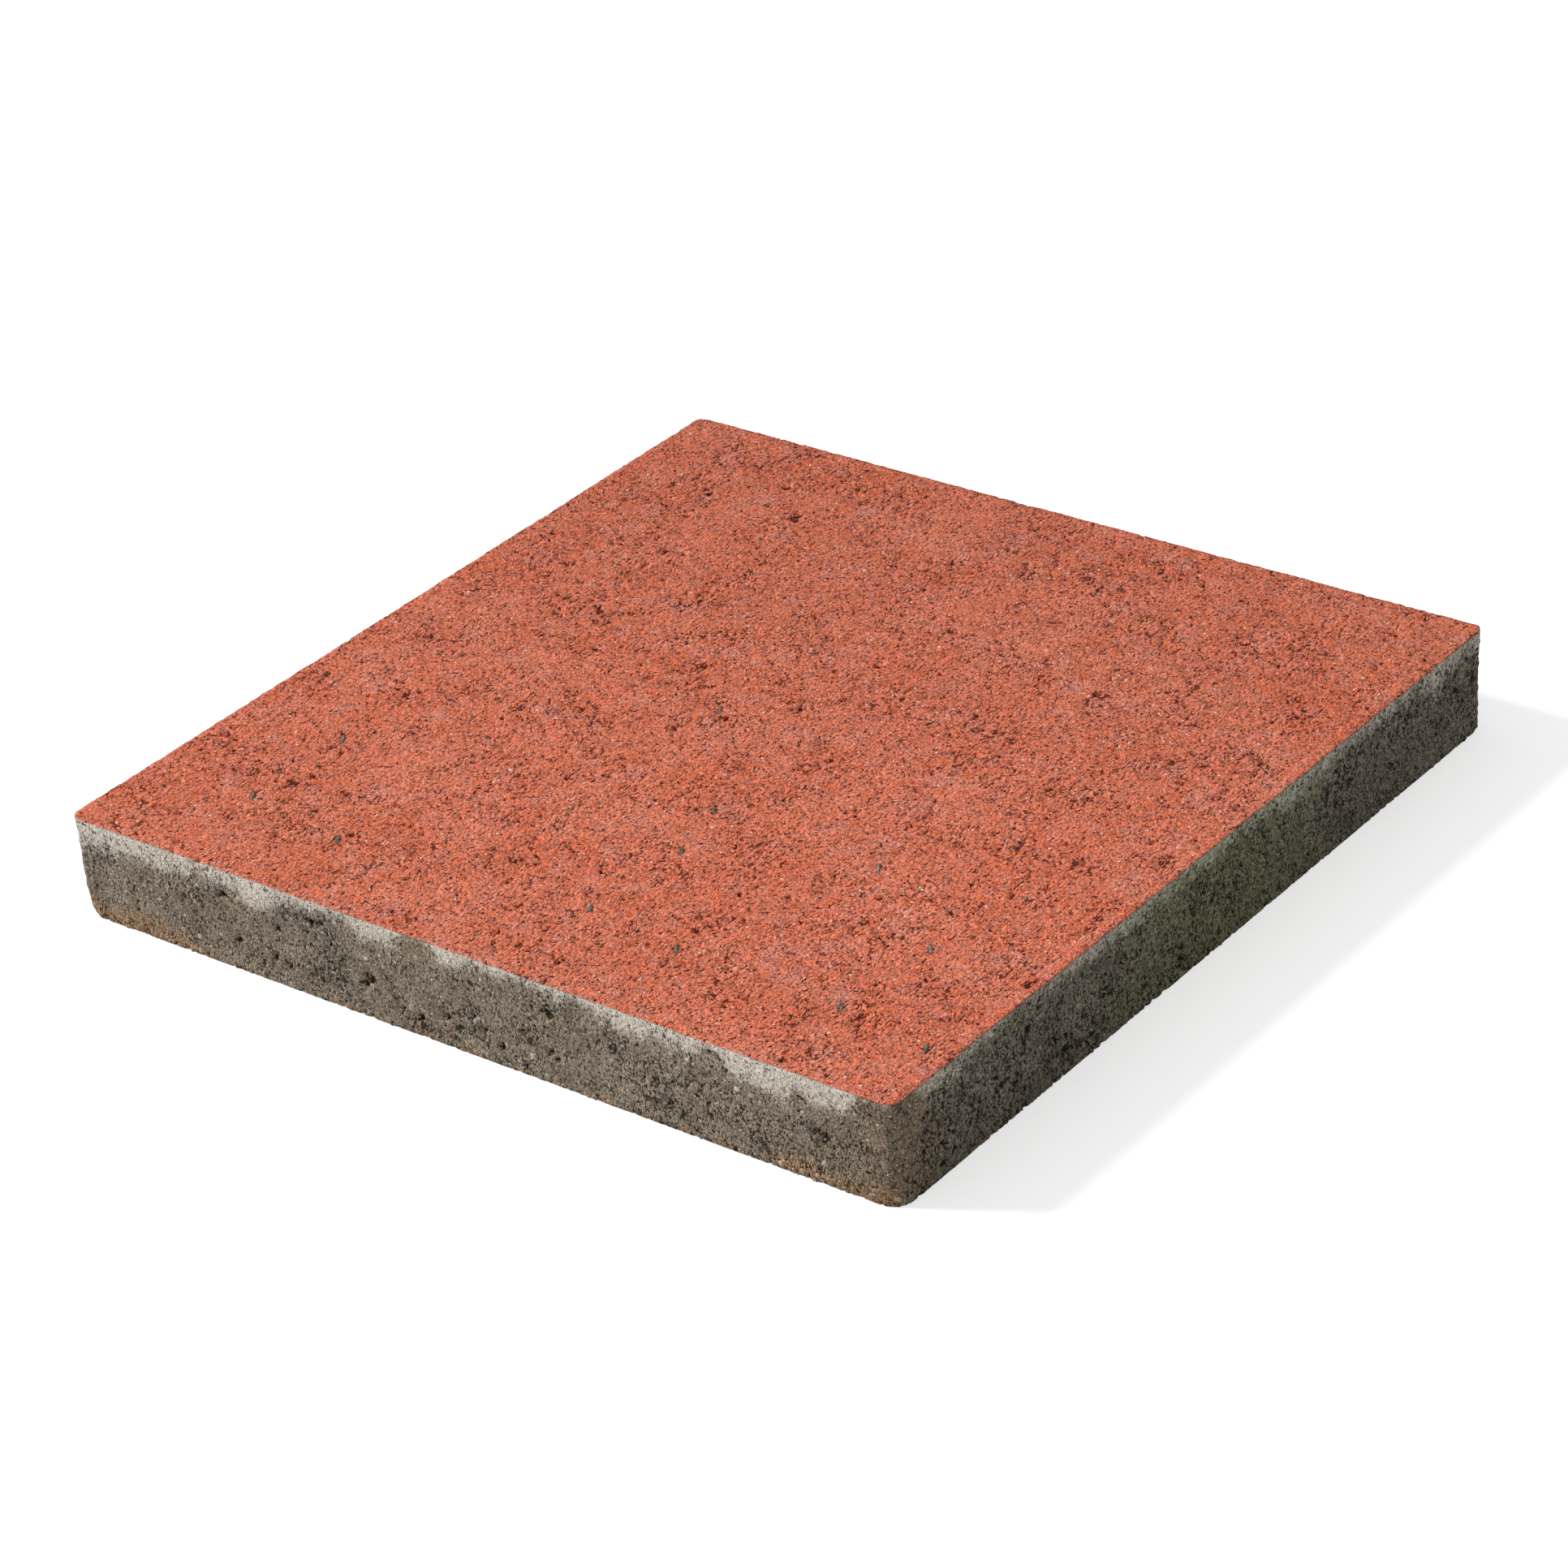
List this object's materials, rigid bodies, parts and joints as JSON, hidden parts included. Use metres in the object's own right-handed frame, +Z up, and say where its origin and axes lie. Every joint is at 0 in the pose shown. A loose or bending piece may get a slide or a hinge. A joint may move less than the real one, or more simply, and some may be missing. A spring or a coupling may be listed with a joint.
{
  "type": "concrete paving stone",
  "caption": "Square flat concrete paving stone with a rough red walking face, grey sides and rounded corners, laid flat on a bed as paving.",
  "frame": {"origin": "centre of the bed, the face that the stone lies on", "axes": "+Z up from the bed to the walking face, +X and +Y square to two of the sides"},
  "size_m": [0.4, 0.4, 0.045],
  "materials": {
    "pigmented_concrete": "matte"
  },
  "bodies": {
    "root": {"paving_slab": "pigmented_concrete"}
  },
  "joints": []
}
